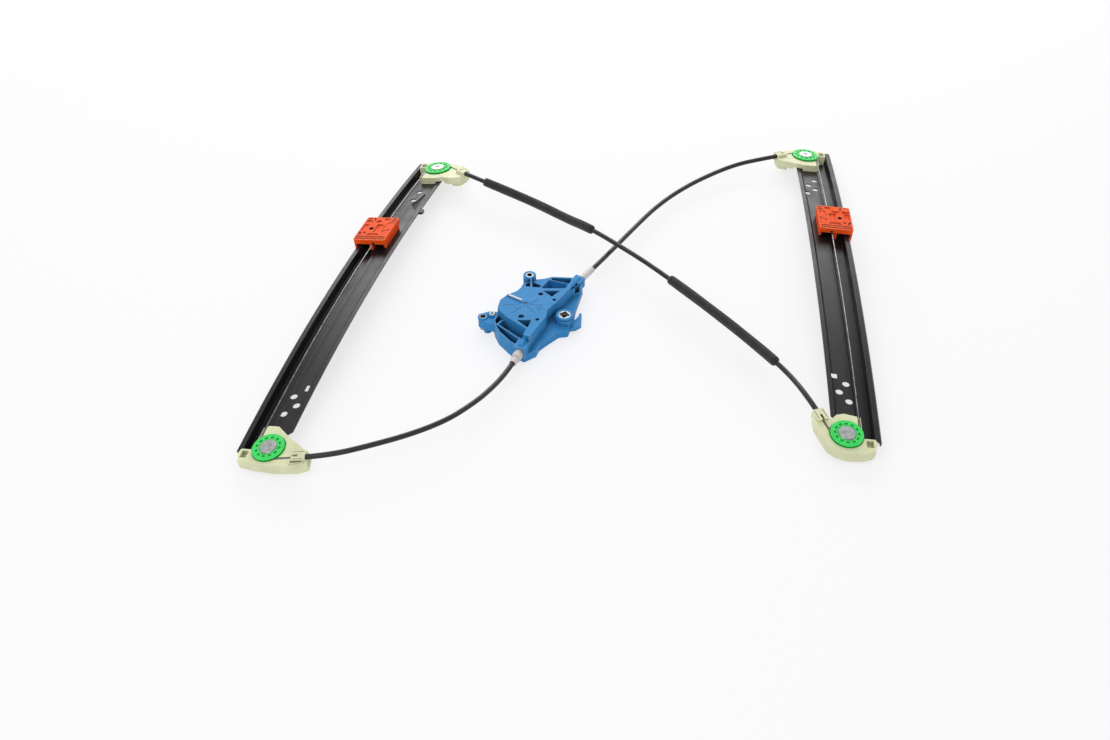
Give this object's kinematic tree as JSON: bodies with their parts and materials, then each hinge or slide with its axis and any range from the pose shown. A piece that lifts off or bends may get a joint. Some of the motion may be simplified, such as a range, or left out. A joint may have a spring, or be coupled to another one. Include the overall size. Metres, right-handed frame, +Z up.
{
  "type": "window regulator",
  "caption": "Cable window regulator: two curved rails with sliding glass carriers, guide pulleys, cable conduits and a drum housing for a drive motor.",
  "frame": {"origin": "on the ground below the centre of the bounding box, with the regulator lying on its back, sliding side up", "axes": "+Z up, away from the door panel side; +X from the left rail to the right rail; +Y from the lower ends of the rails to the upper ends"},
  "size_m": [0.7396, 0.6447, 0.0421],
  "materials": {
    "rail_black": "satin black coat",
    "bracket_natural": "natural nylon",
    "pulley_green": "moulded",
    "pin_steel": "zinc plated",
    "carrier_red": "moulded",
    "wire_steel": "stranded",
    "housing_blue": "moulded",
    "drum_white": "moulded",
    "bush_steel": "zinc plated",
    "ferrule_white": "moulded",
    "conduit_black": "smooth",
    "foam_black": "foam"
  },
  "bodies": {
    "frame": {"rail_left": "rail_black", "rail_right": "rail_black", "upper_bracket_left": "bracket_natural", "lower_bracket_left": "bracket_natural", "upper_bracket_right": "bracket_natural", "lower_bracket_right": "bracket_natural", "upper_pulley_pin_left": "pin_steel", "lower_pulley_pin_left": "pin_steel", "upper_pulley_pin_right": "pin_steel", "lower_pulley_pin_right": "pin_steel", "cable_left": "wire_steel", "cable_right": "wire_steel", "drum_housing": "housing_blue", "mount_bush_top": "bush_steel", "mount_bush_left": "bush_steel", "mount_bush_right": "bush_steel", "housing_screw": "bush_steel", "drum_ferrule_lower": "ferrule_white", "drum_ferrule_upper": "ferrule_white", "drum_strand_lower": "wire_steel", "drum_strand_upper": "wire_steel", "conduit_lower": "conduit_black", "conduit_upper": "conduit_black", "conduit_cross": "conduit_black", "foam_sleeve_upper": "foam_black", "foam_sleeve_lower": "foam_black"},
    "carriage_left": {"carrier_left": "carrier_red", "cable_nipples_left": "wire_steel"},
    "carriage_right": {"carrier_right": "carrier_red", "cable_nipples_right": "wire_steel"},
    "drum": {"cable_drum": "drum_white", "drum_windings": "wire_steel"},
    "pulley_upper_left": {"upper_pulley_left": "pulley_green"},
    "pulley_lower_left": {"lower_pulley_left": "pulley_green"},
    "pulley_upper_right": {"upper_pulley_right": "pulley_green"},
    "pulley_lower_right": {"lower_pulley_right": "pulley_green"}
  },
  "joints": [
    {"name": "carriage_left_travel", "type": "hinge", "parent": "frame", "child": "carriage_left", "pos_m": [0.03733, -0.08953, -2.45141], "axis": [-0.9629, 0.2362, -0.1305], "range_deg": [-7.4, 2.68]},
    {"name": "carriage_right_travel", "type": "hinge", "parent": "frame", "child": "carriage_right", "pos_m": [0.16879, 0.02475, -2.46803], "axis": [-0.9946, 0.0833, 0.061], "range_deg": [-7.41, 2.69]},
    {"name": "drum_turn", "type": "hinge", "parent": "frame", "child": "drum", "pos_m": [-0.06582, -0.05591, 0.017], "axis": [0, 0, 1], "range_deg": [-315, 850]},
    {"name": "pulley_upper_left_turn", "type": "hinge", "parent": "frame", "child": "pulley_upper_left", "pos_m": [-0.19599, 0.26259, 0.02182], "axis": [-0.0988, 0.1418, 0.985], "range_deg": [-455, 1245]},
    {"name": "pulley_lower_left_turn", "type": "hinge", "parent": "frame", "child": "pulley_lower_left", "pos_m": [-0.33243, -0.29374, 0.02182], "axis": [-0.1531, -0.08, 0.985], "range_deg": [-455, 1245]},
    {"name": "pulley_upper_right_turn", "type": "hinge", "parent": "frame", "child": "pulley_upper_right", "pos_m": [0.32942, 0.2987, 0.02084], "axis": [0.07, 0.1087, 0.9916], "range_deg": [-1245, 455]},
    {"name": "pulley_lower_right_turn", "type": "hinge", "parent": "frame", "child": "pulley_lower_right", "pos_m": [0.28159, -0.27211, 0.02084], "axis": [0.0509, -0.1188, 0.9916], "range_deg": [-1245, 455]}
  ],
  "couplings": [
    {"joint": "carriage_right_travel", "follows": "carriage_left_travel", "ratio": 1},
    {"joint": "drum_turn", "follows": "carriage_left_travel", "ratio": -114.05},
    {"joint": "pulley_upper_left_turn", "follows": "carriage_left_travel", "ratio": -167.27},
    {"joint": "pulley_lower_left_turn", "follows": "carriage_left_travel", "ratio": -167.27},
    {"joint": "pulley_upper_right_turn", "follows": "carriage_left_travel", "ratio": 167.27},
    {"joint": "pulley_lower_right_turn", "follows": "carriage_left_travel", "ratio": 167.27}
  ]
}
